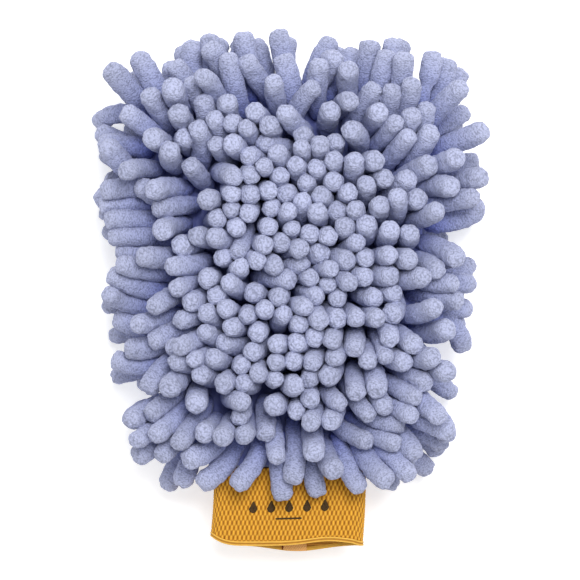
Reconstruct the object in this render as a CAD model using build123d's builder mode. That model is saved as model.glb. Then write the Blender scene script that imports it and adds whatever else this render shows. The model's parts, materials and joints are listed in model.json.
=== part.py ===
"""A chenille wash mitt: a flat two-sided bag covered in soft strands, with an elastic cuff at its mouth.

Everything is drawn about the middle of the seam that joins the cuff to the bag: the bag runs
towards +Y, the cuff towards -Y, and +Z is the front of the mitt. The finished pieces are then set
down on the tips of the back strands.
"""

from build123d import *
from math import acos, atan2, ceil, copysign, cos, degrees, floor, hypot, pi, radians, sin, sqrt, tan
import os

# ---- Driving dimensions, in millimetres and degrees ----

# The bag: two cloths and two linings, sewn round the edge.
pad_length = 177.5
tip_width = 142.0  # across the bag near the fingertips
base_width = 118.0  # across the bag near the cuff
tip_corner = 21.0
base_corner = 40.0
pad_thickness = 14.8
rim_flat = 0.4  # the upright part of the bag's edge, each side of the seam
cloth_thickness = 1.6
lining_thickness = 0.8

# The strands: one row of the tufting machine is one piece.
row_count = 20
strands_per_row = 17
strand_length = 34.0
strand_gap = 0.9  # left between the thick ends of strands that stand side by side
root_share = 0.58  # a strand's radius at its stitched root, as a share of its radius at the tip
seam_margin = 3.0  # from the last strands to the edge seam, along the cloth
back_pile_height = 26.0  # what the back strands hold the bag off the table by
edge_lean = 28.0  # how far the strands at the edge lean outwards, beyond square to the cloth
mouth_lean = 30.0  # the further lean of the strands that hang over the cuff
mouth_lean_reach = 34.0  # how far up the bag that further lean is felt

# The sewn edges inside the bag.
edge_seam_width = 5.0
edge_seam_thickness = 2.4
mouth_seam_thickness = 1.1
mouth_seam_inside = 2.2
mouth_seam_outside = 2.6

# The cuff: a loop of wide woven elastic.
cuff_width = 77.0
cuff_thickness = 13.0
cuff_fold_flat = 0.2  # the upright part of the cuff's folded side, above and below its middle
cuff_length = 45.5
cuff_mouth_slant = 15.0
face_thickness = 0.9
rubber_thickness = 0.5
backing_thickness = 0.7
rubber_width = 0.9
rubber_pitch = 4.0
edge_band_width = 2.6

# The cuff bends about the seam: its end is hollow, the bag's end is round and sits in it.
knuckle_margin = 0.7  # how far the bag's round end stands out past the cuff, front and back
knuckle_clearance = 0.4

# The tape over the join of the elastic, inside the back of the cuff.
tape_width = 12.0
tape_thickness = 0.8
tape_side = 2.4  # how far the tape is to the right of the middle
tape_start = 9.0
stitch_radius = 0.3
stitch_length = 2.4
stitch_pitch = 3.6
stitch_margin = 1.3

# The printed row of drops.
drop_count = 5
drop_radius = 2.2
drop_height = 2.1  # the point of a drop above its middle, in radii
drop_pitch = 9.0
ink_thickness = 0.15
print_from_edge = 16.0
bar_length = 14.0
bar_width = 0.9
bar_drop = 5.2

# ---- Sizes that follow ----

half_pad = pad_thickness / 2
rim_radius = half_pad - rim_flat
lining_depth = cloth_thickness + lining_thickness
half_cuff = cuff_thickness / 2
cuff_corner = half_cuff - cuff_fold_flat
cuff_wall = face_thickness + rubber_thickness + backing_thickness
mouth_half = cuff_width / 2 + lining_depth
neck_depth = 3 * rim_radius
knuckle_radius = half_cuff + knuckle_margin
knuckle_seat = knuckle_radius + knuckle_clearance

tip_centre = (tip_width / 2 - tip_corner, pad_length - tip_corner)
base_centre = (base_width / 2 - base_corner, base_corner)
centre_run = (tip_centre[0] - base_centre[0], tip_centre[1] - base_centre[1])
corner_change = (base_corner - tip_corner) / hypot(*centre_run)
side_angle = degrees(atan2(centre_run[1], centre_run[0]) - acos(corner_change))
side_normal = (cos(radians(side_angle)), sin(radians(side_angle)))

# Along the cloth, from its flat part to the last strands.
rim_reach = rim_radius * pi / 2 + rim_flat - seam_margin
row_pitch = (pad_length - rim_radius + rim_reach - rim_radius / 2) / row_count
strand_pitch = (tip_width - 2 * rim_radius + 2 * rim_reach) / (strands_per_row - 1)
tip_radius = (min(row_pitch, strand_pitch) - strand_gap) / 2
root_radius = root_share * tip_radius
core_length = strand_length - tip_radius - root_radius


# ---- The cloth's surface, and where each strand stands on it ----


def flat_edge_distance(x, y):
    """How far a point is outside the flat middle of the bag, and the way outwards.

    Both follow from the arcs and lines of the bag's outline.
    """
    tip_x, tip_y = abs(x) - tip_centre[0], y - tip_centre[1]
    base_x, base_y = abs(x) - base_centre[0], y - base_centre[1]
    tip_turn, base_turn = degrees(atan2(tip_y, tip_x)), degrees(atan2(base_y, base_x))
    along_side = tip_x * side_normal[0] + tip_y * side_normal[1]
    if tip_y > 0 and tip_x < 0:
        distance, way = tip_y - (tip_corner - rim_radius), (0, 1)
    elif tip_x >= 0 and tip_turn > side_angle:
        distance, way = hypot(tip_x, tip_y) - (tip_corner - rim_radius), (tip_x, tip_y)
    elif base_x >= 0 and base_turn < side_angle:
        distance, way = hypot(base_x, base_y) - (base_corner - rim_radius), (base_x, base_y)
    else:
        distance, way = along_side - (tip_corner - rim_radius), side_normal
        if rim_radius - y > distance:
            distance, way = rim_radius - y, (0, -1)
    size = hypot(*way)
    return distance, (copysign(way[0] / size, x), way[1] / size)


def cloth_point(across, along):
    """The place and the outward normal of a point of the cut cloth, which bends over the bag's rim."""
    beyond, way = flat_edge_distance(across, along)
    beyond_neck = abs(across) - (mouth_half - rim_radius)
    if along < neck_depth and beyond_neck < min(beyond, rim_radius):
        beyond, way = beyond_neck, (copysign(1, across), 0)
    if beyond <= 0:
        return (across, along, half_pad), (0, 0, 1)
    turn = beyond / rim_radius
    sideways = rim_radius * sin(turn) - beyond
    height = half_pad - rim_radius * (1 - cos(turn))
    place = (across + way[0] * sideways, along + way[1] * sideways, height)
    return place, (way[0] * sin(turn), way[1] * sin(turn), cos(turn))


def strand_places():
    """For each row, the centre of each strand's round root, and the direction that the strand points."""
    rows = []
    first_row = pad_length - rim_radius + rim_reach
    for row in range(row_count):
        along = first_row - row * row_pitch
        stagger = 0.5 if row % 2 else 0.0
        places = []
        for step in range(-ceil(strands_per_row / 2), ceil(strands_per_row / 2) + 1):
            across = (step + stagger) * strand_pitch
            if flat_edge_distance(across, along)[0] > rim_reach + rim_flat:
                continue
            place, normal = cloth_point(across, along)
            out_x = across / (tip_width / 2)
            out_y = (along - pad_length / 2) / (pad_length / 2)
            far_out = min(1.0, hypot(out_x, out_y))
            lean = tan(radians(edge_lean * far_out**2)) / max(hypot(out_x, out_y), 1e-6)
            over_cuff = max(0.0, 1 - along / mouth_lean_reach) if abs(across) < mouth_half else 0.0
            way = Vector(
                normal[0] + lean * out_x,
                normal[1] + lean * out_y - tan(radians(mouth_lean)) * over_cuff,
                normal[2],
            ).normalized()
            places.append((Vector(*place) + Vector(*normal) * root_radius, way))
        rows.append(places)
    return rows


# ---- Setting the pieces down and writing them ----

os.makedirs("parts", exist_ok=True)
strand_rows = strand_places()
top_end = max((root + way * core_length).Y for places in strand_rows for root, way in places) + tip_radius
slant_rise = half_cuff * tan(radians(cuff_mouth_slant))
cuff_end = -cuff_length - slant_rise
seam_place = Location((0, -(top_end + cuff_end) / 2, back_pile_height + half_pad))


def write(piece, name):
    """Labels a finished piece, sets it down in the mitt's own frame and writes its STEP file."""
    placed = piece.moved(seam_place)
    placed.label = name
    export_step(placed, f"parts/{name}.step")


# ---- The bag ----


def outline(inset):
    """The bag's outline, drawn in by inset."""
    with BuildSketch() as shape:
        with BuildLine():
            Line((0, pad_length - inset), (tip_centre[0], pad_length - inset))
            tip = CenterArc(tip_centre, tip_corner - inset, 90, side_angle - 90)
            base = CenterArc(base_centre, base_corner - inset, side_angle, -90 - side_angle)
            Line(tip @ 1, base @ 0)
            Line(base @ 1, (0, inset))
            mirror(about=Plane.YZ)
        make_face()
    return shape.sketch


def bag_form(inset):
    """The whole bag as one body, drawn in by inset: a cushion with a rounded rim, and a short neck."""
    height = half_pad - inset
    around = outline(inset)
    with BuildPart() as form:
        with BuildSketch(Plane.XY.offset(-height)):
            add(around)
        extrude(amount=2 * height)
        levels = form.edges().group_by(Axis.Z)
        fillet(levels[0] + levels[-1], radius=rim_radius - inset)
        with BuildSketch(Plane.XZ.offset(-neck_depth)):
            RectangleRounded(2 * (mouth_half - inset), 2 * height, rim_radius - inset)
        extrude(amount=neck_depth + knuckle_radius)
    return form.part


with BuildPart() as beyond_mouth:
    Box(3 * tip_width, pad_length, 3 * pad_thickness, align=(Align.CENTER, Align.MAX, Align.CENTER))
    Cylinder(knuckle_radius, 4 * tip_width, rotation=(0, 90, 0), mode=Mode.SUBTRACT)


def bag_layer(outer_inset, inner_inset, side):
    """One layer of one side of the bag, between two insets, trimmed to the bag's round end."""
    outside, inside = bag_form(outer_inset), bag_form(inner_inset)
    with BuildPart() as layer:
        add(outside)
        add(inside, mode=Mode.SUBTRACT)
        add(beyond_mouth.part, mode=Mode.SUBTRACT)
        split(bisect_by=Plane.XY, keep=side)
    return layer.part


write(bag_layer(0, cloth_thickness, Keep.TOP), "front_cloth")
write(bag_layer(0, cloth_thickness, Keep.BOTTOM), "back_cloth")
write(bag_layer(cloth_thickness, lining_depth, Keep.TOP), "front_lining")
write(bag_layer(cloth_thickness, lining_depth, Keep.BOTTOM), "back_lining")

# The overlocked edge of the four layers, turned inside along the rim of the pocket.
pocket = bag_form(lining_depth)
pocket_rim = outline(lining_depth)
seam_inner_edge = outline(lining_depth + edge_seam_width)
with BuildPart() as edge_seam:
    with BuildSketch(Plane.XY.offset(-edge_seam_thickness / 2)):
        add(pocket_rim)
    extrude(amount=edge_seam_thickness)
    add(pocket, mode=Mode.INTERSECT)
    with BuildSketch(Plane.XY.offset(-edge_seam_thickness)):
        add(seam_inner_edge)
    extrude(amount=2 * edge_seam_thickness, mode=Mode.SUBTRACT)
    Box(2 * mouth_half, 2 * neck_depth, pad_thickness, mode=Mode.SUBTRACT)
write(edge_seam.part, "edge_seam")

# The overlocked ring that joins the cuff to the bag, inside the mouth.
with BuildPart() as mouth_seam:
    with BuildSketch(Plane.XZ.offset(-mouth_seam_inside)):
        ring_height = 2 * (half_pad - lining_depth)
        RectangleRounded(2 * (mouth_half - lining_depth), ring_height, rim_radius - lining_depth)
        offset(amount=-mouth_seam_thickness, mode=Mode.SUBTRACT)
    extrude(amount=mouth_seam_inside + mouth_seam_outside)
write(mouth_seam.part, "mouth_seam")

# ---- The strands ----


def strand(length):
    """One chenille strand along +Z: a round root about the origin, a slim cone and a round thick tip."""
    taper = (tip_radius - root_radius) / length
    slope = sqrt(1 - taper**2)
    root_edge = (root_radius * slope, -root_radius * taper)
    tip_edge = (tip_radius * slope, length - tip_radius * taper)
    with BuildPart() as blank:
        with BuildSketch(Plane.XZ):
            with BuildLine():
                Line((0, length + tip_radius), (0, -root_radius))
                RadiusArc((0, -root_radius), root_edge, -root_radius)
                Line(root_edge, tip_edge)
                RadiusArc(tip_edge, (0, length + tip_radius), -tip_radius)
            make_face()
        revolve(axis=Axis.Z)
    return blank.part


def strand_row(places, facing):
    """A row of strands. Facing is 1 for the front, and -1 for the back, whose strands stop at the table."""
    room = back_pile_height - root_radius - tip_radius
    solids = []
    for root, way in places:
        length = core_length
        if facing < 0:
            length = min(core_length, (room + half_pad + root_radius - root.Z) / max(way.Z, 1e-6))
        stand = Plane(origin=(root.X, root.Y, facing * root.Z), z_dir=(way.X, way.Y, facing * way.Z))
        solids.append(strand(length).moved(stand.location))
    with BuildPart() as row:
        add(solids)
    return row.part


for number, places in enumerate(strand_rows, start=1):
    write(strand_row(places, 1), f"front_strands_{number:02d}")
    write(strand_row(places, -1), f"back_strands_{number:02d}")

# ---- The cuff ----

outward = (0, -cos(radians(cuff_mouth_slant)), sin(radians(cuff_mouth_slant)))
cuff_mouth = Plane(origin=(0, -cuff_length, 0), z_dir=outward)


def cuff_tube(outer_inset, inner_inset):
    """A layer of the elastic loop, from the hollow end that fits the bag to well past the cuff's mouth."""
    with BuildPart() as tube:
        with BuildSketch(Plane.XZ):
            RectangleRounded(
                cuff_width - 2 * outer_inset,
                cuff_thickness - 2 * outer_inset,
                cuff_corner - outer_inset,
            )
            RectangleRounded(
                cuff_width - 2 * inner_inset,
                cuff_thickness - 2 * inner_inset,
                cuff_corner - inner_inset,
                mode=Mode.SUBTRACT,
            )
        extrude(amount=cuff_length + cuff_thickness)
        Cylinder(knuckle_seat, 2 * cuff_width, rotation=(0, 90, 0), mode=Mode.SUBTRACT)
    return tube.part


def cuff_layer(outer_inset, inner_inset):
    """A layer of the elastic, cut off where the edge band starts."""
    tube = cuff_tube(outer_inset, inner_inset)
    with BuildPart() as layer:
        add(tube)
        split(bisect_by=cuff_mouth.offset(-edge_band_width), keep=Keep.BOTTOM)
    return layer.part


write(cuff_layer(0, face_thickness), "cuff_face")
write(cuff_layer(cuff_wall - backing_thickness, cuff_wall), "cuff_backing")

# The rubber threads lie between the face and the backing, each a closed ring round the cuff.
rubber_from = knuckle_seat + rubber_width
rubber_to = cuff_length - slant_rise - edge_band_width - rubber_width
rubber_count = floor((rubber_to - rubber_from) / rubber_pitch) + 1
with BuildPart() as rubber_threads:
    for ring in range(rubber_count):
        with BuildSketch(Plane.XZ.offset(rubber_from + ring * rubber_pitch)):
            RectangleRounded(
                cuff_width - 2 * face_thickness,
                cuff_thickness - 2 * face_thickness,
                cuff_corner - face_thickness,
            )
            offset(amount=-rubber_thickness, mode=Mode.SUBTRACT)
        extrude(amount=rubber_width)
write(rubber_threads.part, "rubber_threads")

# The band's firm woven edge, which closes the layers at the cuff's mouth.
whole_wall = cuff_tube(0, cuff_wall)
with BuildPart() as edge_band:
    add(whole_wall)
    split(bisect_by=cuff_mouth, keep=Keep.BOTTOM)
    split(bisect_by=cuff_mouth.offset(-edge_band_width), keep=Keep.TOP)
write(edge_band.part, "cuff_edge_band")

# The tape that covers the join of the elastic, on the inside of the back wall.
inner_floor = -(half_cuff - cuff_wall)
tape_run = cuff_length + cuff_thickness - tape_start
with BuildPart() as join_tape:
    with Locations((tape_side, -tape_start, inner_floor)):
        Box(tape_width, tape_run, tape_thickness, align=(Align.CENTER, Align.MAX, Align.MIN))
    split(bisect_by=cuff_mouth, keep=Keep.BOTTOM)
write(join_tape.part, "join_tape")

# Two lines of lockstitch along the tape.
stitch_from = tape_start + stitch_margin
stitch_count = floor((cuff_length - stitch_from - stitch_length) / stitch_pitch) + 1
with BuildPart() as tape_stitches:
    with Locations((tape_side, -stitch_from, inner_floor + tape_thickness + stitch_radius)):
        for side in (-1, 1):
            spots = [
                (side * (tape_width / 2 - stitch_margin), -number * stitch_pitch - stitch_length / 2)
                for number in range(stitch_count)
            ]
            with Locations(*spots):
                Cylinder(stitch_radius, stitch_length, rotation=(90, 0, 0))
write(tape_stitches.part, "tape_stitches")

# The print on the front of the cuff: a row of drops over a short bar.
print_line = -(cuff_length - slant_rise - print_from_edge)
with BuildPart() as cuff_print:
    with BuildSketch(Plane.XY.offset(half_cuff)):
        with Locations((0, print_line)):
            with GridLocations(drop_pitch, 0, drop_count, 1):
                Circle(drop_radius)
                touch = acos(1 / drop_height)
                shoulder = (drop_radius * sin(touch), drop_radius * cos(touch))
                Polygon((-shoulder[0], shoulder[1]), shoulder, (0, drop_radius * drop_height), align=None)
        with Locations((0, print_line - bar_drop)):
            SlotOverall(bar_length, bar_width)
    extrude(amount=ink_thickness)
write(cuff_print.part, "cuff_print")

# ---- What the record needs ----

seam = seam_place.position
strand_total = 2 * sum(len(places) for places in strand_rows)
print(f"bend axis along X through y {seam.Y:.3f} z {seam.Z:.3f}")
print(f"{strand_total} strands, {strand_pitch:.2f} x {row_pitch:.2f} apart, {2 * tip_radius:.2f} thick")
print(f"mouth half width {mouth_half:.2f}, side turned {side_angle:.2f}, {rubber_count} rubber threads")
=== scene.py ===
import bpy
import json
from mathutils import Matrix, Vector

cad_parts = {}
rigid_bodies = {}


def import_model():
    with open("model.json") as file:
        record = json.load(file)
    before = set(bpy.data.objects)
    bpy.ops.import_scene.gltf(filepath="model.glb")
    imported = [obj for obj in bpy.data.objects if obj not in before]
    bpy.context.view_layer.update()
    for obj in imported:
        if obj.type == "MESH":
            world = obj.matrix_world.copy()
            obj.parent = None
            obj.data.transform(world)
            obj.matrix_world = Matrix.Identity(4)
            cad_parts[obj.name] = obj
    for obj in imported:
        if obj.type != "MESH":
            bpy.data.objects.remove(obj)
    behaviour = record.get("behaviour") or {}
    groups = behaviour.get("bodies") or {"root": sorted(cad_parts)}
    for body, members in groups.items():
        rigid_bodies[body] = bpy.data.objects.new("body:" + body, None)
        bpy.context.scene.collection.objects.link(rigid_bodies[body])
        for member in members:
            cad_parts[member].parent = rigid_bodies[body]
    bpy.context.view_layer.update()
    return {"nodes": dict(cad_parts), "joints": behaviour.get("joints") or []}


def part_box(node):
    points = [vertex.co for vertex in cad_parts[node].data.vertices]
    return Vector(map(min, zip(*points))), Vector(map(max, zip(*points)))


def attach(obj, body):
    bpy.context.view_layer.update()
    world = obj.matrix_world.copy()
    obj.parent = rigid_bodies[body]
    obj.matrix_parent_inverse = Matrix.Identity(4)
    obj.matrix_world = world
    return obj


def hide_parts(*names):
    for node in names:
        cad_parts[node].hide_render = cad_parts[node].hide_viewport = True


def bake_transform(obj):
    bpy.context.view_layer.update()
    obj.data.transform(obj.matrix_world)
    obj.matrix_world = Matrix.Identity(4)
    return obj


for leftover in list(bpy.data.objects):
    bpy.data.objects.remove(leftover)
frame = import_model()

import json
from math import cos, hypot, pi, radians, sin

import bmesh
import numpy as np
from mathutils import Matrix, Vector
from mathutils.bvhtree import BVHTree

# ---- The bag's cloths and linings ----
# Front and back are each a warp-knitted microfibre ground with a brushed lining behind it. All four layers
# are cut to one outline, laid face to face, overlocked round the edge and turned, so the rim is rounded and
# uneven.

MM = 0.001


def new_material(name, colour, roughness):
    """A material, its Principled shader, and short ways to add a node and to join two sockets."""
    made = bpy.data.materials.new(name)
    made.use_nodes = True
    tree = made.node_tree
    skin = tree.nodes["Principled BSDF"]
    skin.inputs["Base Color"].default_value = (*colour, 1)
    skin.inputs["Roughness"].default_value = roughness
    skin.inputs["Specular IOR Level"].default_value = 0.25

    def add(kind, **settings):
        node = tree.nodes.new(kind)
        for key, value in settings.items():
            setattr(node, key, value)
        return node

    return made, skin, add, tree.links.new


def fibre_group():
    """Matted fibres: Tone is their light and dark, Height their unevenness, and Normal their bump."""
    group = bpy.data.node_groups.new("fibre", "ShaderNodeTree")
    sockets = group.interface
    sockets.new_socket("Vector", in_out="INPUT", socket_type="NodeSocketVector")
    sockets.new_socket("Fineness", in_out="INPUT", socket_type="NodeSocketFloat").default_value = 1200
    sockets.new_socket("Depth", in_out="INPUT", socket_type="NodeSocketFloat").default_value = 0.4 * MM
    sockets.new_socket("Tone", in_out="OUTPUT", socket_type="NodeSocketFloat")
    sockets.new_socket("Height", in_out="OUTPUT", socket_type="NodeSocketFloat")
    sockets.new_socket("Normal", in_out="OUTPUT", socket_type="NodeSocketVector")
    nodes, join = group.nodes, group.links.new
    way_in, way_out = nodes.new("NodeGroupInput"), nodes.new("NodeGroupOutput")
    curls = nodes.new("ShaderNodeTexNoise")
    curls.inputs["Detail"].default_value = 2.5
    curls.inputs["Roughness"].default_value = 0.62
    pits = nodes.new("ShaderNodeTexVoronoi")
    pits.feature = "F1"
    both = nodes.new("ShaderNodeMath")
    both.operation = "SUBTRACT"
    shape = nodes.new("ShaderNodeMapRange")
    shape.inputs["From Min"].default_value = -0.55
    shape.inputs["From Max"].default_value = 0.75
    less = nodes.new("ShaderNodeMath")
    less.operation = "MULTIPLY"
    less.inputs[1].default_value = 0.62
    bump = nodes.new("ShaderNodeBump")
    bump.inputs["Strength"].default_value = 1.0
    join(way_in.outputs["Vector"], curls.inputs["Vector"])
    join(way_in.outputs["Vector"], pits.inputs["Vector"])
    join(way_in.outputs["Fineness"], curls.inputs["Scale"])
    join(way_in.outputs["Fineness"], less.inputs[0])
    join(less.outputs[0], pits.inputs["Scale"])
    join(curls.outputs["Fac"], both.inputs[0])
    join(pits.outputs["Distance"], both.inputs[1])
    join(both.outputs[0], shape.inputs["Value"])
    join(shape.outputs["Result"], way_out.inputs["Tone"])
    join(shape.outputs["Result"], way_out.inputs["Height"])
    join(shape.outputs["Result"], bump.inputs["Height"])
    join(way_in.outputs["Depth"], bump.inputs["Distance"])
    join(bump.outputs["Normal"], way_out.inputs["Normal"])
    return group


fibre = fibre_group()


def fibrous(name, dark, light, fineness, depth, roughness=0.9, sheen=0.3, stretch=(1, 1, 1)):
    """A cloth material whose fibres lighten and darken it. Stretch draws the fibres out along an axis."""
    made, skin, add, join = new_material(name, light, roughness)
    skin.inputs["Sheen Weight"].default_value = sheen
    skin.inputs["Sheen Roughness"].default_value = 0.5
    skin.inputs["Sheen Tint"].default_value = (*light, 1)
    place = add("ShaderNodeTexCoord")
    turned = add("ShaderNodeMapping")
    turned.inputs["Scale"].default_value = stretch
    grain = add("ShaderNodeGroup", node_tree=fibre)
    grain.inputs["Fineness"].default_value = fineness
    grain.inputs["Depth"].default_value = depth
    tones = add("ShaderNodeMix", data_type="RGBA")
    tones.inputs["A"].default_value = (*dark, 1)
    tones.inputs["B"].default_value = (*light, 1)
    join(place.outputs["Object"], turned.inputs["Vector"])
    join(turned.outputs["Vector"], grain.inputs["Vector"])
    join(grain.outputs["Tone"], tones.inputs["Factor"])
    join(tones.outputs["Result"], skin.inputs["Base Color"])
    join(grain.outputs["Normal"], skin.inputs["Normal"])
    return made


def finish_piece(piece, material, slot, body, *nodes):
    """A piece gets its material, stands for its CAD nodes and rides on a body. Its slot is not used."""
    piece.data.materials.append(material)
    for face in piece.data.polygons:
        face.use_smooth = True
    if nodes:
        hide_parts(*nodes)
    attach(piece, body)
    return piece


def object_from(form, name):
    """Turns a bmesh into an object in the scene."""
    mesh = bpy.data.meshes.new(name)
    form.to_mesh(mesh)
    form.free()
    piece = bpy.data.objects.new(name, mesh)
    bpy.context.scene.collection.objects.link(piece)
    return piece


def soft_copy(node, name, longest, lumps, lump_size):
    """A layer of the bag, cut finely enough to be uneven, and roughened by its own soft lumps."""
    form = bmesh.new()
    form.from_mesh(frame["nodes"][node].data)
    bmesh.ops.remove_doubles(form, verts=form.verts, dist=0.02 * MM)
    for _ in range(6):
        long_edges = [edge for edge in form.edges if edge.calc_length() > longest]
        if not long_edges:
            break
        bmesh.ops.subdivide_edges(form, edges=long_edges, cuts=1)
        bmesh.ops.triangulate(form, faces=form.faces[:])
    piece = object_from(form, name)
    cloud = bpy.data.textures.new(name + "_lumps", "CLOUDS")
    cloud.noise_scale = lump_size
    uneven = piece.modifiers.new("uneven", "DISPLACE")
    uneven.texture = cloud
    uneven.texture_coords = "LOCAL"
    uneven.strength = lumps
    return piece


ground_knit = fibrous(
    "ground_knit", (0.10, 0.12, 0.36), (0.20, 0.23, 0.50), 900, 0.3 * MM, stretch=(1, 0.35, 1)
)
lining_tricot = fibrous(
    "lining_tricot", (0.25, 0.27, 0.42), (0.42, 0.44, 0.58), 1500, 0.15 * MM, stretch=(1, 0.3, 1)
)

low_bag, high_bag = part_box("front_cloth")
bag_size = (high_bag.x - low_bag.x, high_bag.y - low_bag.y)
bag_layers = (
    ("front_cloth", ground_knit, "base_cloth", 0.25 * MM),
    ("back_cloth", ground_knit, "base_cloth", 0.25 * MM),
    ("front_lining", lining_tricot, "lining", 0.1 * MM),
    ("back_lining", lining_tricot, "lining", 0.1 * MM),
)
for node, cloth, slot, lumps in bag_layers:
    layer = soft_copy(node, node + "_sheet", 7 * MM, lumps, 9 * MM)
    finish_piece(layer, cloth, slot, "pad", node)

# ---- The overlocked seams ----
# The bag's edge is overlocked and turned into the pocket as a soft rib. A second overlocked ring, inside the
# mouth, holds the cuff to the bag. Both are thick with texturised thread that runs across the seam.

seam_thread = fibrous(
    "seam_thread", (0.10, 0.11, 0.22), (0.30, 0.32, 0.46), 700, 0.4 * MM, stretch=(1, 1, 0.4)
)
for node in ("edge_seam", "mouth_seam"):
    rib = soft_copy(node, node + "_thread", 3 * MM, 0.3 * MM, 1.5 * MM)
    finish_piece(rib, seam_thread, "seam_thread", "pad", node)

# ---- Where the strands are sewn ----
# The bag is tufted all over, front and back, with short lengths of chenille: a limp cord core in a dense
# velvet pile. A row of the tufting machine is one piece. Each strand's root and the way it leaves the cloth
# are those of its solid in the frame.

front_rows = sorted(name for name in frame["nodes"] if name.startswith("front_strands"))
back_rows = sorted(name for name in frame["nodes"] if name.startswith("back_strands"))


def separate_solids(mesh):
    """The points of a mesh's separate solids, as one array of places for each solid."""
    places = np.empty(len(mesh.vertices) * 3)
    mesh.vertices.foreach_get("co", places)
    places = places.reshape(-1, 3)
    grid = np.round(places / (0.01 * MM)).astype(np.int64)
    same = np.unique(grid, axis=0, return_inverse=True)[1].ravel()
    mesh.calc_loop_triangles()
    corners = np.empty(len(mesh.loop_triangles) * 3, np.int32)
    mesh.loop_triangles.foreach_get("vertices", corners)
    corners = same[corners].reshape(-1, 3)
    label = np.arange(same.max() + 1)
    while True:
        lowest = label[corners].min(axis=1)
        before = label.copy()
        for corner in range(3):
            np.minimum.at(label, corners[:, corner], lowest)
        label = label[label]
        if (label == before).all():
            break
    return [places[label[same] == one] for one in np.unique(label)]


def root_and_way(points):
    """Where a tapered strand leaves the cloth, at its slimmer end, and the way it points."""
    middle = points.mean(axis=0)
    way = np.linalg.svd(points - middle, full_matrices=False)[2][0]
    along = (points - middle) @ way
    aside = np.linalg.norm(points - middle - along[:, None] * way, axis=1)
    low, high = along.min(), along.max()
    third = (high - low) / 3
    if aside[along < low + third].max() > aside[along > high - third].max():
        way, along = -way, -along
    return middle + along.min() * way, way


roots, ways, row_of = [], [], []
for row_name in front_rows + back_rows:
    for solid in separate_solids(frame["nodes"][row_name].data):
        root, way = root_and_way(solid)
        roots.append(root)
        ways.append(way)
        row_of.append(row_name)
roots, ways, row_of = np.array(roots), np.array(ways), np.array(row_of)
strand_count = len(roots)
is_front = np.char.startswith(row_of, "front")

# ---- How the strands lie ----
# A chenille strand is soft but dense: it bends a little, keeps its length, and stops where it meets another.
# The pile opens outwards round the edge of the mitt, and a hand has brushed a parting into it, left of the
# middle.

links = 6  # a strand is followed at its root and at the end of each link
strand_reach = 34.0 * MM
strand_radius = 4.95 * MM
touch_share = 0.95  # how near two strands press, as a share of their radii
settle_steps = 90
carried_on = 0.72  # the share of a step's movement that the next step keeps
sag = 0.035 * MM  # how far the pile's weight lowers it in a step
meeting_distance = 12.5 * MM  # how near two places are before they can meet
widest_half = 98.5  # half the pile's width at the fingertips, in millimetres
swell = np.array([0.7, 0.92, 1.02, 1.03, 1.02, 1.0, 1.0])  # a strand's thickness at each place along it

chance = np.random.default_rng(41)


def scatter(*shape):
    """Random values about 0, with the rare extremes cut off."""
    return chance.standard_normal(shape).clip(-1.8, 1.8)


def ease(low, high, value):
    """0 below low, 1 above high, and smooth between."""
    share = np.clip((value - low) / (high - low), 0, 1)
    return share * share * (3 - 2 * share)


def unit(vectors):
    """The same directions, each of length 1."""
    return vectors / np.linalg.norm(vectors, axis=-1, keepdims=True)


reach = strand_reach * (1 + 0.07 * scatter(strand_count) - 0.17 * (chance.random(strand_count) > 0.9))
girth = strand_radius * (1 + 0.05 * scatter(strand_count))
fan_middle = np.array([4 * MM, (low_bag.y + high_bag.y) / 2 + 8 * MM])
spread = (roots[:, :2] - fan_middle) / np.array([bag_size[0] / 2, bag_size[1] / 2])
far_out = np.linalg.norm(spread, axis=1)
girth *= 1 + 0.07 * ease(0.6, 1, far_out) * is_front
outward = np.zeros((strand_count, 3))
outward[:, :2] = spread / np.maximum(far_out, 1e-6)[:, None]

# The way each strand would stand if it had no neighbours: as it is sewn, opening outwards, in soft waves.
across, along = roots[:, 0] / MM, roots[:, 1] / MM
lean = ways + outward * (0.50 * ease(0.62, 1.05, far_out))[:, None]
lean[:, 0] += 0.12 * np.sin(along / 17 + across / 29)
lean[:, 1] += 0.12 * np.sin(across / 15 - along / 37 + 1.0)
# The strands left of the parting lie over to the left, and those right of it stand a little to the right.
parting = -52 + 5 * np.sin(along / 30)
parted = ease(-82, -52, along) * (1 - ease(42, 70, along)) * is_front
lean[:, 0] -= 1.1 * parted * ease(3, -3, across - parting)
lean[:, 0] += 0.15 * parted * ease(-2, 2, across - parting) * (1 - ease(4, 16, across - parting))
# Over the cuff the strands part to both sides, the left ones more.
over_cuff = is_front * ease(-44, -66, along) * (np.abs(across) < 46)
lean[:, 0] += over_cuff * (0.15 * ease(5, 32, across) - 0.45 * ease(0, -30, across))
lean[:, 1] -= over_cuff * 0.7
lean += over_cuff[:, None] * 0.18 * scatter(strand_count, 3)
# Beside the cuff they lie sideways rather than towards the wrist.
beside_cuff = is_front * ease(-28, -58, along) * ease(22, 40, np.abs(across))
lean[:, 1] *= 1 - 0.45 * beside_cuff
# The outer strands lie less evenly, but the back ones keep clear of the cuff's way down.
under_cuff = (1 - is_front) * ease(-40, -56, along) * (np.abs(across) < 60)
uneven = 0.12 + 0.17 * ease(0.55, 0.9, far_out) * (1 - under_cuff)
lean = unit(lean + uneven[:, None] * scatter(strand_count, 3))
curl = 0.05 * scatter(strand_count, 3) * (1 + 1.2 * (chance.random(strand_count) > 0.85))[:, None]
curl *= (1 + 0.7 * ease(0.5, 0.85, far_out) * is_front)[:, None]

link = reach / (links + 0.6)
chain = roots[:, None, :] + ways[:, None, :] * (np.arange(links + 1)[None, :] * link[:, None])[:, :, None]
thick = girth[:, None] * swell[None, :]
table_gap = 0.15 * MM
chain[:, 1:, 2] = np.maximum(chain[:, 1:, 2], thick[:, 1:] + table_gap)
owner = np.repeat(np.arange(strand_count), links + 1)
number_on = np.tile(np.arange(links + 1), strand_count)

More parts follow.
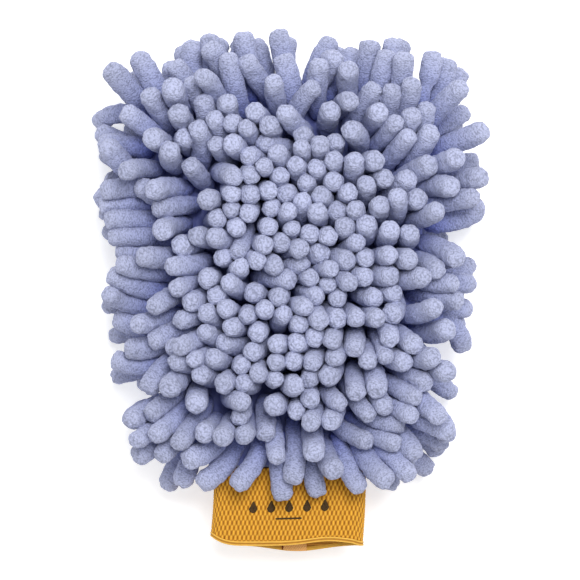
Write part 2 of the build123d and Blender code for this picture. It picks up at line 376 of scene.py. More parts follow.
firm = []
for node in ("front_cloth", "back_cloth", "cuff_face", "cuff_edge_band"):
    mesh = frame["nodes"][node].data
    firm.append(BVHTree.FromPolygons([v.co for v in mesh.vertices], [p.vertices for p in mesh.polygons]))


def touching_pairs(places, near):
    """The pairs of places on different strands that are near enough to meet soon."""
    size = (places**2).sum(axis=1)
    found = []
    for start in range(0, len(places), 1024):
        part = places[start : start + 1024]
        gap = size[start : start + 1024, None] + size[None, :] - 2 * part @ places.T
        first, second = np.nonzero(gap < near**2)
        first += start
        past_roots = number_on[first] + number_on[second] > 2
        keep = (first < second) & (owner[first] != owner[second]) & past_roots
        found.append((first[keep], second[keep]))
    return [np.concatenate(side) for side in zip(*found)]


def keep_links(chain):
    """Each link keeps its length, and comes back towards the line of the link before it."""
    heading = lean
    for number in range(1, links + 1):
        base = chain[:, number - 1]
        wanted = base + (heading + curl) * link[:, None]
        stiff = 0.5 if number == 1 else 0.28
        heading = unit(chain[:, number] * (1 - stiff) + wanted * stiff - base)
        chain[:, number] = base + heading * link[:, None]


def keep_apart(chain, first, second):
    """Strands that press on each other give way equally, and the table gives way to none."""
    flat = chain.reshape(-1, 3)
    radii = thick.ravel()
    apart = flat[second] - flat[first]
    distance = np.maximum(np.linalg.norm(apart, axis=1), 1e-9)
    overlap = np.maximum(0, touch_share * (radii[first] + radii[second]) - distance)
    hit = overlap > 0
    push = apart[hit] * (0.5 * overlap[hit] / distance[hit])[:, None]
    moves, counts = np.zeros_like(flat), np.zeros(len(flat))
    np.add.at(moves, second[hit], push)
    np.add.at(moves, first[hit], -push)
    np.add.at(counts, second[hit], 1)
    np.add.at(counts, first[hit], 1)
    flat += moves * ((number_on > 0) * 1.5 / np.maximum(counts, 1.5))[:, None]
    chain[:, 1:, 2] = np.maximum(chain[:, 1:, 2], thick[:, 1:] + table_gap)


def keep_in_outline(chain):
    """The brushed pile has an even outline, which narrows below the fingers and again towards the cuff."""
    at = chain[:, 3:, 1] / MM
    half = widest_half - 8 * ease(58, 22, at) - 12 * ease(-25, -80, at)
    over = np.abs(chain[:, 3:, 0]) / MM - (half - thick[:, 3:] / MM)
    chain[:, 3:, 0] -= np.sign(chain[:, 3:, 0]) * np.maximum(over, 0) * 0.3 * MM


def keep_out_of_bag(chain):
    """The bag and the cuff don't give way."""
    for strand in range(strand_count):
        for number in range(2, links + 1):
            place = Vector(chain[strand, number])
            reach_here = 0.9 * thick[strand, number]
            for solid in firm:
                spot, normal, _, away = solid.find_nearest(place, reach_here)
                if spot is None or away < 1e-7:
                    continue
                side = 1 if (place - spot).dot(normal) > 0 else -1
                push = (place - spot).normalized() * side * (reach_here - side * away)
                chain[strand, number] += np.array(push)


before = chain.copy()
for step in range(settle_steps):
    if step % 5 == 0:
        first, second = touching_pairs(chain.reshape(-1, 3), meeting_distance)
    carried = carried_on * (chain - before)
    before = chain.copy()
    chain[:, 1:] += carried[:, 1:]
    chain[:, 1:, 2] -= sag
    for _ in range(3):
        keep_links(chain)
        keep_apart(chain, first, second)
        keep_in_outline(chain)
    keep_out_of_bag(chain)

# ---- The strands ----
# Each strand is a plump finger of pile with a blunt, round end. Where two press together they flatten
# against each other, so the crowded ones in the middle are a little angular.

rings, sides = 9, 8
ball = bmesh.new()
bmesh.ops.create_uvsphere(ball, u_segments=sides, v_segments=rings + 1, radius=1)
strand_blank = bpy.data.meshes.new("strand_blank")
ball.to_mesh(strand_blank)
on_ball = np.array([v.co for v in ball.verts])
ball.free()
ring_of = np.rint(np.arccos(np.clip(-on_ball[:, 2], -1, 1)) / pi * (rings + 1)).astype(int)
turn = np.where(np.hypot(on_ball[:, 0], on_ball[:, 1]) > 0.01, np.arctan2(on_ball[:, 1], on_ball[:, 0]), 0)
side_of = np.rint(turn / (2 * pi / sides)).astype(int) % sides
# How far along a strand each ring is, and how wide it is there, as shares of its length and its girth.
ring_height = np.array([0.0, 0.03, 0.10, 0.24, 0.42, 0.60, 0.76, 0.88, 0.95, 0.988, 1.0])
ring_width = np.array([0.0, 0.55, 0.83, 1.03, 1.11, 1.14, 1.15, 1.12, 1.0, 0.67, 0.0])

# The strands' lines: from the root through the links to the tip's end, smoothed, and read at each ring.
tips = chain[:, -1] + unit(chain[:, -1] - chain[:, -2]) * girth[:, None]
lines = np.concatenate([chain, tips[:, None]], axis=1)
steps = np.linalg.norm(np.diff(lines, axis=1), axis=2)
run = np.concatenate([np.zeros((strand_count, 1)), np.cumsum(steps, axis=1)], axis=1)
stations = 40
spine = np.empty((strand_count, stations, 3))
for strand in range(strand_count):
    at = np.linspace(0, run[strand, -1], stations)
    for axis in range(3):
        spine[strand, :, axis] = np.interp(at, run[strand], lines[strand, :, axis])
for _ in range(8):
    spine[:, 1:-1] = 0.25 * spine[:, :-2] + 0.5 * spine[:, 1:-1] + 0.25 * spine[:, 2:]
slope = unit(np.gradient(spine, axis=1))
where = ring_height * (stations - 1)
lower = np.minimum(where.astype(int), stations - 2)
part = (where - lower)[None, :, None]
centre = spine[:, lower] * (1 - part) + spine[:, lower + 1] * part
heading = unit(slope[:, lower] * (1 - part) + slope[:, lower + 1] * part)
crosswise = np.array([0.31, 0.95, 0.02])  # no strand points exactly this way
to_side = unit(np.cross(crosswise, heading))
to_other = np.cross(heading, to_side)
angles = np.arange(sides) * 2 * pi / sides
spoke = to_side[:, :, None] * np.cos(angles)[:, None] + to_other[:, :, None] * np.sin(angles)[:, None]
radius = np.repeat((ring_width * girth[:, None])[:, :, None], sides, axis=2)

# Neighbours share the space between them: no strand bulges past the middle of the gap.
limit = np.full(radius.shape, 1.0)
bulge_distance = 13 * MM
near_first, near_second = touching_pairs(chain.reshape(-1, 3), bulge_distance)
neighbours = np.unique(np.stack([owner[near_first], owner[near_second]], axis=1), axis=0)
neighbours = np.concatenate([neighbours, neighbours[:, ::-1]])
coarse = spine[:, ::3]
for one, other in neighbours:
    away = coarse[other][None, :] - centre[one][:, None]
    distance = np.linalg.norm(away, axis=2)
    nearest = distance.argmin(axis=1)
    gap = np.maximum(distance[np.arange(rings + 2), nearest], 1e-9)
    towards = away[np.arange(rings + 2), nearest] / gap[:, None]
    facing = (spoke[one] * towards[:, None]).sum(axis=2)
    room = gap[:, None] * girth[one] / (girth[one] + girth[other]) / np.maximum(facing, 0.05)
    limit[one] = np.where(facing > 0.3, np.minimum(limit[one], room), limit[one])
squeezed = np.clip(limit * 1.09, 0.6 * radius, radius)
points = centre[:, :, None] + spoke * squeezed[:, :, :, None]
points = points[:, ring_of, side_of]

# The places inside a strand's own pile, so that its fibres can stand square to its core.
length_of = run[:, -1]
pile_place = np.empty((strand_count, rings + 2, sides, 3))
pile_place[..., 0] = np.cos(angles)[None, None, :] * squeezed
pile_place[..., 1] = np.sin(angles)[None, None, :] * squeezed
pile_place[..., 2] = (ring_height[None, :] * length_of[:, None])[:, :, None]
pile_place += 0.5 * chance.random((strand_count, 1, 1, 3))
pile_place = pile_place[:, ring_of, side_of]
strand_tone = 1 + 0.05 * scatter(strand_count)

pile_made, pile_skin, add, join = new_material("chenille_pile", (0.45, 0.48, 0.66), 0.95)
pile_skin.inputs["Sheen Weight"].default_value = 0.25
pile_skin.inputs["Sheen Roughness"].default_value = 0.4
pile_skin.inputs["Sheen Tint"].default_value = (0.75, 0.78, 1.0, 1)
place = add("ShaderNodeAttribute", attribute_name="pile_place")
drawn = add("ShaderNodeMapping")
drawn.inputs["Scale"].default_value = (0.8, 0.8, 1.5)
grain = add("ShaderNodeGroup", node_tree=fibre)
grain.inputs["Fineness"].default_value = 1500
grain.inputs["Depth"].default_value = 0.65 * MM
height = add("ShaderNodeAttribute", attribute_name="along")
# Painted shade and light: each strand is painted darker and bluer towards its root, where shade falls
# between the strands, and lighter towards its tip, which catches the light.
painted_shade_along = add("ShaderNodeValToRGB")
painted_shade_along.color_ramp.elements[0].position = 0.05
painted_shade_along.color_ramp.elements[0].color = (0.09, 0.12, 0.42, 1)
painted_shade_along.color_ramp.elements[1].position = 0.93
painted_shade_along.color_ramp.elements[1].color = (0.375, 0.40, 0.565, 1)
painted_shade_middle = painted_shade_along.color_ramp.elements.new(0.48)
painted_shade_middle.color = (0.275, 0.305, 0.52, 1)
speckle = add("ShaderNodeMapRange")
speckle.inputs["From Min"].default_value = 0.2
speckle.inputs["From Max"].default_value = 0.5
speckle.inputs["To Min"].default_value = 0.7
speckle.inputs["To Max"].default_value = 1.12
own_tone = add("ShaderNodeAttribute", attribute_name="own_tone")
both_tones = add("ShaderNodeMath", operation="MULTIPLY")
shade = add("ShaderNodeVectorMath", operation="SCALE")
join(place.outputs["Vector"], drawn.inputs["Vector"])
join(drawn.outputs["Vector"], grain.inputs["Vector"])
join(height.outputs["Fac"], painted_shade_along.inputs["Fac"])
join(grain.outputs["Tone"], speckle.inputs["Value"])
join(speckle.outputs["Result"], both_tones.inputs[0])
join(own_tone.outputs["Fac"], both_tones.inputs[1])
join(painted_shade_along.outputs["Color"], shade.inputs[0])
join(both_tones.outputs[0], shade.inputs["Scale"])
join(shade.outputs["Vector"], pile_skin.inputs["Base Color"])
join(grain.outputs["Normal"], pile_skin.inputs["Normal"])

pile_lumps = bpy.data.textures.new("pile_lumps", "CLOUDS")
pile_lumps.noise_scale = 3.2 * MM
pile_lumps.noise_depth = 2
joint_place = Vector(frame["joints"][0]["pos_m"])

for row_name in front_rows + back_rows:
    members = np.nonzero(row_of == row_name)[0]
    row = bmesh.new()
    for strand in members:
        row.from_mesh(strand_blank)
    piece = object_from(row, row_name + "_pile")
    piece.data.vertices.foreach_set("co", points[members].ravel())
    share_along = piece.data.attributes.new("along", "FLOAT", "POINT")
    share_along.data.foreach_set("value", np.tile(ring_height[ring_of], len(members)).astype(np.float32))
    tone_of = piece.data.attributes.new("own_tone", "FLOAT", "POINT")
    tone_of.data.foreach_set("value", np.repeat(strand_tone[members], len(ring_of)).astype(np.float32))
    in_pile = piece.data.attributes.new("pile_place", "FLOAT_VECTOR", "POINT")
    in_pile.data.foreach_set("vector", pile_place[members].ravel().astype(np.float32))
    finer = piece.modifiers.new("finer", "SUBSURF")
    finer.levels = finer.render_levels = 2
    lumpy = piece.modifiers.new("lumpy", "DISPLACE")
    lumpy.texture = pile_lumps
    lumpy.texture_coords = "LOCAL"
    lumpy.strength = 1.7 * MM
    piece.data.materials.append(pile_made)
    for face in piece.data.polygons:
        face.use_smooth = True
    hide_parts(row_name)
    if row_name in front_rows[-3:]:
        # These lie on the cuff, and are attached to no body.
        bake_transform(piece)
    else:
        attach(piece, "pad")

# ---- The cuff's face ----
# The cuff is a loop of wide woven elastic. Its face is a honeycomb of short raised floats in golden
# polyester, each smaller than a grain of rice, with painted shade in the gaps between them. Its hem is a
# little wavy where the elastic has relaxed.

high_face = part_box("cuff_face")[1]
cuff_half = np.array([high_face.x, high_face.z - joint_place.z])
cuff_corner = 6.3 * MM
corner_run = cuff_corner * pi / 2
flat_runs = 2 * (cuff_half - cuff_corner)
girdle = 2 * flat_runs.sum() + 4 * corner_run
seat = hypot(joint_place.y - high_face.y, cuff_half[1])  # the hollow end that fits round the end of the bag


def round_the_cuff(run, inset):
    """The place across the cuff and through it, and the way out, at a run from the back's middle."""
    run = np.mod(run + flat_runs[0] / 2, girdle)
    across, up, out_x, out_z = (np.zeros_like(run) for _ in range(4))
    start, heading = np.array([-flat_runs[0] / 2, -cuff_half[1]]), 0.0
    for leg in range(4):
        length = flat_runs[leg % 2]
        forward = np.array([cos(heading), sin(heading)])
        outwards = np.array([forward[1], -forward[0]])
        on = (run >= 0) & (run < length)
        across[on], up[on] = start[0] + forward[0] * run[on], start[1] + forward[1] * run[on]
        out_x[on], out_z[on] = outwards
        run, start = run - length, start + forward * length
        on = (run >= 0) & (run < corner_run)
        hub = start - outwards * cuff_corner
        bend = heading - pi / 2 + run / cuff_corner
        across[on] = hub[0] + cuff_corner * np.cos(bend[on])
        up[on] = hub[1] + cuff_corner * np.sin(bend[on])
        out_x[on], out_z[on] = np.cos(bend[on]), np.sin(bend[on])
        heading += pi / 2
        run = run - corner_run
        start = hub + cuff_corner * np.array([cos(heading - pi / 2), sin(heading - pi / 2)])
    return across - inset * out_x, up - inset * out_z, out_x, out_z


def hem_line(across, up):
    """Where the hem is: highest at the left fold, then dipping, and lifted a little right of the middle."""
    front = ease(-3 * MM, 3 * MM, up)
    x = across / MM
    left_fold = 5 * np.clip((-22 - x) / 17, 0, 1) ** 2.6
    front_hem = -126.0 + left_fold + 2.4 * np.exp(-(((x - 21) / 15) ** 2)) - 0.9 * ease(32, 38, x)
    back_hem = -126.7 + left_fold - 3.1 * np.exp(-(((x - 5) / 18) ** 2))
    return (front * front_hem + (1 - front) * back_hem) * MM


def top_line(up, reach_in):
    """Where a layer that reaches in this far stops, against the round end of the bag."""
    return joint_place.y - np.sqrt(np.maximum(seat**2 - np.maximum(np.abs(up) - reach_in, 0) ** 2, 0))


def cuff_wave(across, share, up):
    """How far the relaxed wall stands off its flat place: near the hem the front gapes a little."""
    front = ease(-2 * MM, 2 * MM, up)
    lift = 1.3 * MM * share**2 * np.exp(-(((across / MM - 12) / 20) ** 2))
    ripple = 0.175 * MM * np.sin(across / (7 * MM)) * share
    return front * lift + ripple


band_height = 2.4 * MM  # the woven edge at the hem, below the honeycomb


def cuff_place(run, share, inset, below=0.0, reach_in=1.3 * MM):
    """A place on the cuff, from the bag (share 0) to the band (share 1), and the wall's length there."""
    across, up, _, _ = round_the_cuff(run, inset)
    outer_across, outer_up, _, _ = round_the_cuff(run, 0)
    top, foot = top_line(outer_up, reach_in), hem_line(outer_across, outer_up) + band_height
    along = top + (foot - top) * share - below
    up = up + cuff_wave(outer_across, share, outer_up)
    across = across - 1.5 * MM * share**2  # the loop has slid a little to the left
    return np.stack([across, along, joint_place.z + up], axis=-1), top - foot


floats_round = 2 * round(girdle / (2 * 2.17 * MM))
float_pitch = girdle / floats_round
float_row = 2.5 * MM  # from one row of floats to the next, which sits in its gaps
float_half_width, float_half_length = 0.86 * MM, 1.9 * MM
float_rise = 0.75 * MM


def float_relief(run, share, length):
    """The height of the honeycomb: the nearest floats of two rows that sit in each other's gaps."""
    v = share * length
    rise = np.zeros_like(run)
    for stagger in (0.0, 0.5):
        u = run / float_pitch - stagger
        w = v / (2 * float_row) - stagger
        du = (u - np.round(u)) * float_pitch / float_half_width
        dw = (w - np.round(w)) * 2 * float_row / float_half_length
        beads = 0.88 + 0.12 * np.cos(2 * pi * (np.abs(dw) - 0.45) / 0.9)
        rise = np.maximum(rise, beads * np.maximum(0, 1 - du**2 - dw**2) ** 0.8)
    return rise


def face_outwards(form):
    """Turns a loop's faces so that they look away from its middle."""
    form.normal_update()
    middle, across_loop = Vector((0, 0, joint_place.z)), Vector((1, 0, 1))
    looks = sum(face.normal.dot((face.calc_center_median() - middle) * across_loop) for face in form.faces)
    if looks < 0:
        bmesh.ops.reverse_faces(form, faces=form.faces[:])


def cuff_grid(name, steps_round, steps_along, inset, relief, deepest, reach_in):
    """A loop of the cuff's wall as a fine net."""
    net = bmesh.new()
    bmesh.ops.create_grid(net, x_segments=steps_round, y_segments=steps_along, size=0.5)
    flat = np.array([v.co for v in net.verts])
    run, share = (flat[:, 0] + 0.5) * girdle, flat[:, 1] + 0.5
    length = cuff_place(run, share, inset, 0.0, reach_in)[1]
    rise = relief(run, share, length)
    places = cuff_place(run, share, inset + (1 - rise) * deepest, 0.0, reach_in)[0]
    for vertex, spot in zip(net.verts, places):
        vertex.co = spot
    piece = object_from(net, name)
    height = piece.data.attributes.new("rise", "FLOAT", "POINT")
    height.data.foreach_set("value", rise.astype(np.float32))
    join_up = bmesh.new()
    join_up.from_mesh(piece.data)
    bmesh.ops.remove_doubles(join_up, verts=join_up.verts, dist=0.01 * MM)
    face_outwards(join_up)
    join_up.to_mesh(piece.data)
    join_up.free()
    return piece


def thicken(piece, thickness):
    """Gives a net its cloth's thickness, inwards."""
    wall = piece.modifiers.new("wall", "SOLIDIFY")
    wall.thickness = thickness
    wall.offset = -1
    return piece


def relief_cloth(name, low, high, full, stretch):
    """A woven material with fine yarn, its colour darkened where its relief is low as painted shade in the
    hollows.
    """
    made, skin, add, join = new_material(name, high, 0.75)
    skin.inputs["Sheen Weight"].default_value = 0.1
    skin.inputs["Sheen Tint"].default_value = (1.0, 0.8, 0.4, 1)
    place = add("ShaderNodeTexCoord")
    drawn = add("ShaderNodeMapping")
    drawn.inputs["Scale"].default_value = stretch
    yarn = add("ShaderNodeGroup", node_tree=fibre)
    yarn.inputs["Fineness"].default_value = 2400
    yarn.inputs["Depth"].default_value = 0.12 * MM
    rise = add("ShaderNodeAttribute", attribute_name="rise")
    # Painted shade: the low colour darkens the hollows of the relief, where shade falls, and the high colour
    # is the cloth's own.
    painted_hollow_shade = add("ShaderNodeValToRGB")
    painted_hollow_shade.color_ramp.elements[0].position = 0.0
    painted_hollow_shade.color_ramp.elements[0].color = (*low, 1)
    painted_hollow_shade.color_ramp.elements[1].position = full
    painted_hollow_shade.color_ramp.elements[1].color = (*high, 1)
    speckle = add("ShaderNodeMapRange")
    speckle.inputs["To Min"].default_value = 0.8
    speckle.inputs["To Max"].default_value = 1.12
    shade = add("ShaderNodeVectorMath", operation="SCALE")
    join(place.outputs["Object"], drawn.inputs["Vector"])
    join(drawn.outputs["Vector"], yarn.inputs["Vector"])
    join(rise.outputs["Fac"], painted_hollow_shade.inputs["Fac"])
    join(yarn.outputs["Tone"], speckle.inputs["Value"])
    join(painted_hollow_shade.outputs["Color"], shade.inputs[0])
    join(speckle.outputs["Result"], shade.inputs["Scale"])
    join(shade.outputs["Vector"], skin.inputs["Base Color"])
    join(yarn.outputs["Normal"], skin.inputs["Normal"])
    return made


# The first colour is painted shade in the gaps between the floats.
knit = relief_cloth("honeycomb_elastic", (0.22, 0.062, 0.001), (0.79, 0.395, 0.034), 0.78, (1, 0.28, 1))
face_net = cuff_grid("cuff_face_elastic", floats_round * 6, 92, 0.0, float_relief, float_rise, 1.3 * MM)
face_piece = thicken(face_net, 0.4 * MM)
finish_piece(face_piece, knit, "cuff_knit", "cuff", "cuff_face")

# ---- Inside the cuff ----
# The backing is the elastic's inner layer: a flat weave of the same polyester, with fine ribs round the
# loop. It is woven with the face, and the rubber threads run between the two. It starts clear of the bag's
# round end.

rib_pitch = 1.1 * MM


def rib_relief(run, share, length):
    """Fine ribs that run round the loop."""
    return 0.5 + 0.5 * np.cos(share * length / rib_pitch * 2 * pi)


# The first colour is painted shade in the grooves between the ribs.
backing = relief_cloth("ribbed_backing", (0.38, 0.14, 0.012), (0.70, 0.33, 0.05), 0.8, (0.3, 1, 1))
back_net = cuff_grid("cuff_backing_weave", 140, 160, 1.5 * MM, rib_relief, 0.12 * MM, 2.3 * MM)
back_piece = thicken(back_net, 0.45 * MM)
finish_piece(back_piece, backing, "cuff_backing", "cuff", "cuff_backing")

# ---- The band, the tape and its stitches ----
# The elastic's woven edge closes the layers at the hem, with two firm ribs. Inside the back, a herringbone
# tape covers the join of the loop. Two lines of lockstitch hold it, and a line of dark loops lies along its
# left edge.

# The first colour is painted shade between the ribs of the band.
edge_thread = relief_cloth("woven_edge", (0.34, 0.13, 0.006), (0.82, 0.47, 0.075), 0.9, (0.3, 1, 1))
band_steps = 28
band_wall = 2.0 * MM  # the band's thickness, a little less than the layers it closes
band = bmesh.new()
bmesh.ops.create_grid(band, x_segments=300, y_segments=band_steps, size=0.5)
flat = np.array([v.co for v in band.verts])
run, turn_of = (flat[:, 0] + 0.5) * girdle, (flat[:, 1] + 0.5) * 2 * pi
rib = np.sin(2 * np.arcsin(np.clip(np.sin(turn_of), -1, 1))) ** 2 * (np.cos(turn_of) < 0)
squared = np.maximum(np.abs(np.cos(turn_of)), np.abs(np.sin(turn_of))) ** -0.6
depth = band_wall / 2 + np.cos(turn_of) * band_wall / 2 * squared - 0.35 * MM * rib
below = band_height / 2 + np.sin(turn_of) * band_height / 2 * squared
for vertex, spot in zip(band.verts, cuff_place(run, np.ones_like(run), depth, below)[0]):
    vertex.co = spot
height = band.verts.layers.float.new("rise")
# Outside, the band is painted darker between its ribs as painted shade; inside, it takes one even tone.
for vertex, high in zip(band.verts, np.where(np.cos(turn_of) < 0, rib, 0.75)):
    vertex[height] = high
bmesh.ops.remove_doubles(band, verts=band.verts, dist=0.01 * MM)
bmesh.ops.recalc_face_normals(band, faces=band.faces)
band_piece = object_from(band, "cuff_edge_weave")
finish_piece(band_piece, edge_thread, "cuff_edge", "cuff", "cuff_edge_band")

low_tape, high_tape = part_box("join_tape")
tape_middle = (low_tape.x + high_tape.x) / 2
tape_half = (high_tape.x - low_tape.x) / 2
stitch_inset = 1.3 * MM  # from the tape's edge to a line of stitches
stitch_solids = separate_solids(frame["nodes"]["tape_stitches"].data)
stitch_spots = np.array([solid.mean(axis=0) for solid in stitch_solids])
stitch_step = np.diff(np.unique(np.round(stitch_spots[:, 1] / MM, 2))).mean() * MM


def tape_height(across, along):
    """The tape's top face, which the stitches pull down in small puckers."""
    off_line = np.abs(across - tape_middle) - (tape_half - stitch_inset)
    near_line = np.exp(-((off_line / (1.2 * MM)) ** 2))
    pucker = 0.5 + 0.5 * np.cos((along - stitch_spots[0, 1]) / stitch_step * 2 * pi)
    return high_tape.z - 0.1 * MM - 0.22 * MM * near_line * pucker


tape = bmesh.new()
bmesh.ops.create_grid(tape, x_segments=24, y_segments=90, size=0.5)
for vertex in tape.verts:
    across = tape_middle + vertex.co.x * 2 * tape_half
    hem = float(hem_line(np.array([across]), -cuff_half[1:])[0])
    along = high_tape.y + (vertex.co.y - 0.5) * (high_tape.y - hem - 0.2 * MM)
    vertex.co = (across, along, tape_height(across, along))
tape_piece = thicken(object_from(tape, "join_tape_weave"), 0.6 * MM)
twill, twill_skin, add, join = new_material("herringbone_tape", (0.80, 0.42, 0.13), 0.85)
place = add("ShaderNodeTexCoord")
lean_way = add("ShaderNodeMapping")
lean_way.inputs["Rotation"].default_value = (0, 0, radians(35))
twill_line = add("ShaderNodeTexWave", wave_type="BANDS", bands_direction="X")
twill_line.inputs["Scale"].default_value = 330
twill_line.inputs["Distortion"].default_value = 0.6
yarn = add("ShaderNodeMix", data_type="RGBA")
yarn.inputs["A"].default_value = (0.80, 0.40, 0.12, 1)
yarn.inputs["B"].default_value = (0.95, 0.56, 0.22, 1)
twill_bump = add("ShaderNodeBump")
twill_bump.inputs["Distance"].default_value = 0.12 * MM
join(place.outputs["Object"], lean_way.inputs["Vector"])
join(lean_way.outputs["Vector"], twill_line.inputs["Vector"])
join(twill_line.outputs["Fac"], yarn.inputs["Factor"])
join(yarn.outputs["Result"], twill_skin.inputs["Base Color"])
join(twill_line.outputs["Fac"], twill_bump.inputs["Height"])
join(twill_bump.outputs["Normal"], twill_skin.inputs["Normal"])
finish_piece(tape_piece, twill, "join_tape", "cuff", "join_tape")

lockstitch = fibrous("lockstitch", (0.50, 0.24, 0.05), (0.80, 0.45, 0.12), 3000, 0.06 * MM, sheen=0.1)
stitches = bmesh.new()
for spot in stitch_spots:
    made = bmesh.ops.create_uvsphere(stitches, u_segments=8, v_segments=6, radius=1)
    for vertex in made["verts"]:
        sink = 0.22 * MM * vertex.co.y**2
        shift = Vector((vertex.co.x * 0.34 * MM, vertex.co.y * 1.4 * MM, vertex.co.z * 0.28 * MM - sink))
        vertex.co = Vector((spot[0], spot[1], tape_height(spot[0], spot[1]) + 0.12 * MM)) + shift
stitch_piece = object_from(stitches, "tape_lockstitch")
finish_piece(stitch_piece, lockstitch, "stitch_thread", "cuff", "tape_stitches")

# Along the tape's left edge lies a line of dark red-brown short loops that lean over the edge.
dark_edge_line = fibrous(
    "dark_edge_line", (0.12, 0.015, 0.004), (0.26, 0.05, 0.015), 3000, 0.06 * MM, sheen=0.1
)
edge_loops = bmesh.new()
edge_line_from, edge_line_to = high_tape.y - 1 * MM, -129.0 * MM
edge_loop_step = 0.9 * MM
for number in range(round((edge_line_from - edge_line_to) / edge_loop_step)):
    along = edge_line_from - number * edge_loop_step
    made = bmesh.ops.create_uvsphere(edge_loops, u_segments=6, v_segments=5, radius=1)
    for vertex in made["verts"]:
        x, y, z = vertex.co
        shift = Vector((x * 0.42 * MM, y * 0.62 * MM + x * 0.2 * MM, z * 0.4 * MM))
        vertex.co = Vector((low_tape.x - 0.15 * MM, along, high_tape.z + 0.05 * MM)) + shift
finish_piece(object_from(edge_loops, "tape_dark_edge_line"), dark_edge_line, "stitch_thread", "cuff")

# ---- The print ----
# The elastic is screen-printed in dark ink with a plain row of water drops over a short bar. The ink lies on
# the floats and sinks into the gaps between them.

low_print, high_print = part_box("cuff_print")
print_up = 2.2 * MM  # the print stands a little higher on the relaxed loop
print_slope = 0.03  # and rises to the right
ink_film = 0.07 * MM
drop_count = 5
drop_radius = 2.2 * MM
drop_step = (high_print.x - low_print.x - 2 * drop_radius) / (drop_count - 1)
drops_above_bar = 5.2 * MM
bar_half_height = 0.45 * MM


def drop_shape(x, y):
    """Inside a drop of radius 1 about the origin, whose point is 2.1 above it."""
    point = 2.1
    shoulder = 1 / point
    half_width = (point - y) * np.sqrt(1 - shoulder**2) / (point - shoulder)
    cone = (y > shoulder) & (y < point) & (np.abs(x) < half_width)
    return (np.hypot(x, y) < 1) | cone


def bar_shape(x, y):
    """Inside a bar of half height 1 and round ends."""
    half_straight = 14.0
    return np.hypot(np.maximum(np.abs(x) - half_straight, 0), y) < 1


ink_net = bmesh.new()
bar_x, bar_y = (low_print.x + high_print.x) / 2, low_print.y + bar_half_height
patches = []
for number in range(drop_count):
    drop_x = bar_x + (number - (drop_count - 1) // 2) * drop_step
    patches.append((drop_shape, drop_radius, drop_x, bar_y + drops_above_bar, 2.4, 36, 36))
patches.append((bar_shape, bar_half_height, bar_x, bar_y, 15.6, 110, 10))
for inside, size, at_x, at_y, half_net, steps_across, steps_up in patches:
    made = bmesh.ops.create_grid(ink_net, x_segments=steps_across, y_segments=steps_up, size=1)
    stray = []
    for vertex in made["verts"]:
        x, y = vertex.co.x * half_net, vertex.co.y * 2.4
        if not inside(np.array(x), np.array(y)):
            stray.append(vertex)
        x = at_x + x * size
        vertex.co = (x, at_y + y * size + print_up + x * print_slope, 0)
    bmesh.ops.delete(ink_net, geom=stray, context="VERTS")
spots = np.array([v.co for v in ink_net.verts])
front_middle = girdle / 2  # the run round the loop, from the back's middle
run = front_middle - spots[:, 0]
tops, length = cuff_place(run, np.zeros_like(run), 0.0)
share = (tops[:, 1] - spots[:, 1]) / length
inset = (1 - float_relief(run, share, length)) * float_rise * 0.8 - ink_film
for vertex, spot in zip(ink_net.verts, cuff_place(run, share, inset)[0]):
    vertex.co = spot
bmesh.ops.recalc_face_normals(ink_net, faces=ink_net.faces)
ink_piece = object_from(ink_net, "cuff_print_ink")
ink = fibrous("print_ink", (0.03, 0.016, 0.006), (0.09, 0.05, 0.016), 2200, 0.05 * MM, sheen=0.0)
film = ink_piece.modifiers.new("film", "SOLIDIFY")
film.thickness = ink_film
film.offset = 0
finish_piece(ink_piece, ink, "print_ink", "cuff", "cuff_print")

# ---- The rubber threads ----
# Flat threads of pale elastomer run round the loop, woven in between its face and its backing. They draw the
# loop in on a wrist, and nothing of them shows.

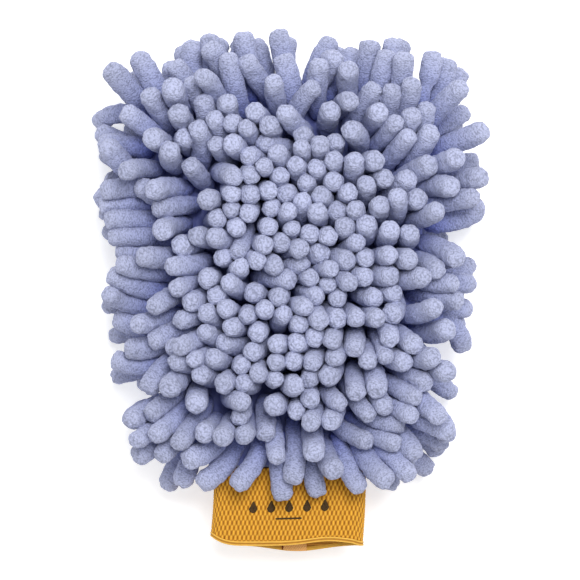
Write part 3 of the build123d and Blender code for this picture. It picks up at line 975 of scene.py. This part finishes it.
rubber = fibrous(
    "rubber_thread", (0.70, 0.66, 0.52), (0.82, 0.78, 0.66), 1500, 0.05 * MM, roughness=0.5, sheen=0.0
)
threads = bmesh.new()
for ring in separate_solids(frame["nodes"]["rubber_threads"].data):
    thread_width = np.ptp(ring[:, 1])
    made = bmesh.ops.create_grid(threads, x_segments=180, y_segments=2, size=0.5)
    flat = np.array([v.co for v in made["verts"]])
    run, level = (flat[:, 0] + 0.5) * girdle, ring[:, 1].mean() + flat[:, 1] * thread_width
    tops, length = cuff_place(run, np.zeros_like(run), 0.0)
    share = np.minimum((tops[:, 1] - level) / length, 0.985 + flat[:, 1] * 0.02)
    for vertex, spot in zip(made["verts"], cuff_place(run, share, 1.22 * MM)[0]):
        vertex.co = spot
bmesh.ops.remove_doubles(threads, verts=threads.verts, dist=0.01 * MM)
face_outwards(threads)
thread_piece = thicken(object_from(threads, "rubber_thread_rings"), 0.25 * MM)
finish_piece(thread_piece, rubber, "rubber_thread", "cuff", "rubber_threads")

# ---- The table, the lights and the camera ----
# The mitt lies on a pale matt table under one large soft box, a little past the fingertips, in an even white
# room. The camera looks straight down.

table = bmesh.new()
bmesh.ops.create_grid(table, x_segments=1, y_segments=1, size=3)
floor = object_from(table, "table_top")
paint, paint_skin, add, join = new_material("pale_table", (0.9, 0.9, 0.9), 0.9)
paint_skin.inputs["Emission Color"].default_value = (1, 1, 1, 1)
paint_skin.inputs["Emission Strength"].default_value = 0.4
floor.data.materials.append(paint)

world = bpy.data.worlds.new("studio")
bpy.context.scene.world = world
world.use_nodes = True
world.node_tree.nodes["Background"].inputs["Color"].default_value = (1, 1, 1, 1)
world.node_tree.nodes["Background"].inputs["Strength"].default_value = 0.7


def soft_light(name, place, target, size, power):
    """A square soft box that faces the target."""
    light = bpy.data.lights.new(name, "AREA")
    light.size = size
    light.energy = power
    lamp = bpy.data.objects.new(name, light)
    bpy.context.scene.collection.objects.link(lamp)
    facing_way = (Vector(target) - Vector(place)).to_track_quat("-Z", "Y")
    lamp.matrix_world = Matrix.LocRotScale(Vector(place), facing_way, None)


soft_light("key_light", (0.2, 0.52, 1.46), (0, 0, 0.03), 0.7, 20.5)

camera_height = 1.35
view_plane = 0.045
view_width = 0.290
lens = bpy.data.cameras.new("camera")
lens.sensor_width = 36
lens.lens = 36 * (camera_height - view_plane) / view_width
camera = bpy.data.objects.new("camera", lens)
camera.location = (0.0, 0.0025, camera_height)
bpy.context.scene.collection.objects.link(camera)
bpy.context.scene.camera = camera
bpy.context.scene.view_settings.view_transform = "Standard"
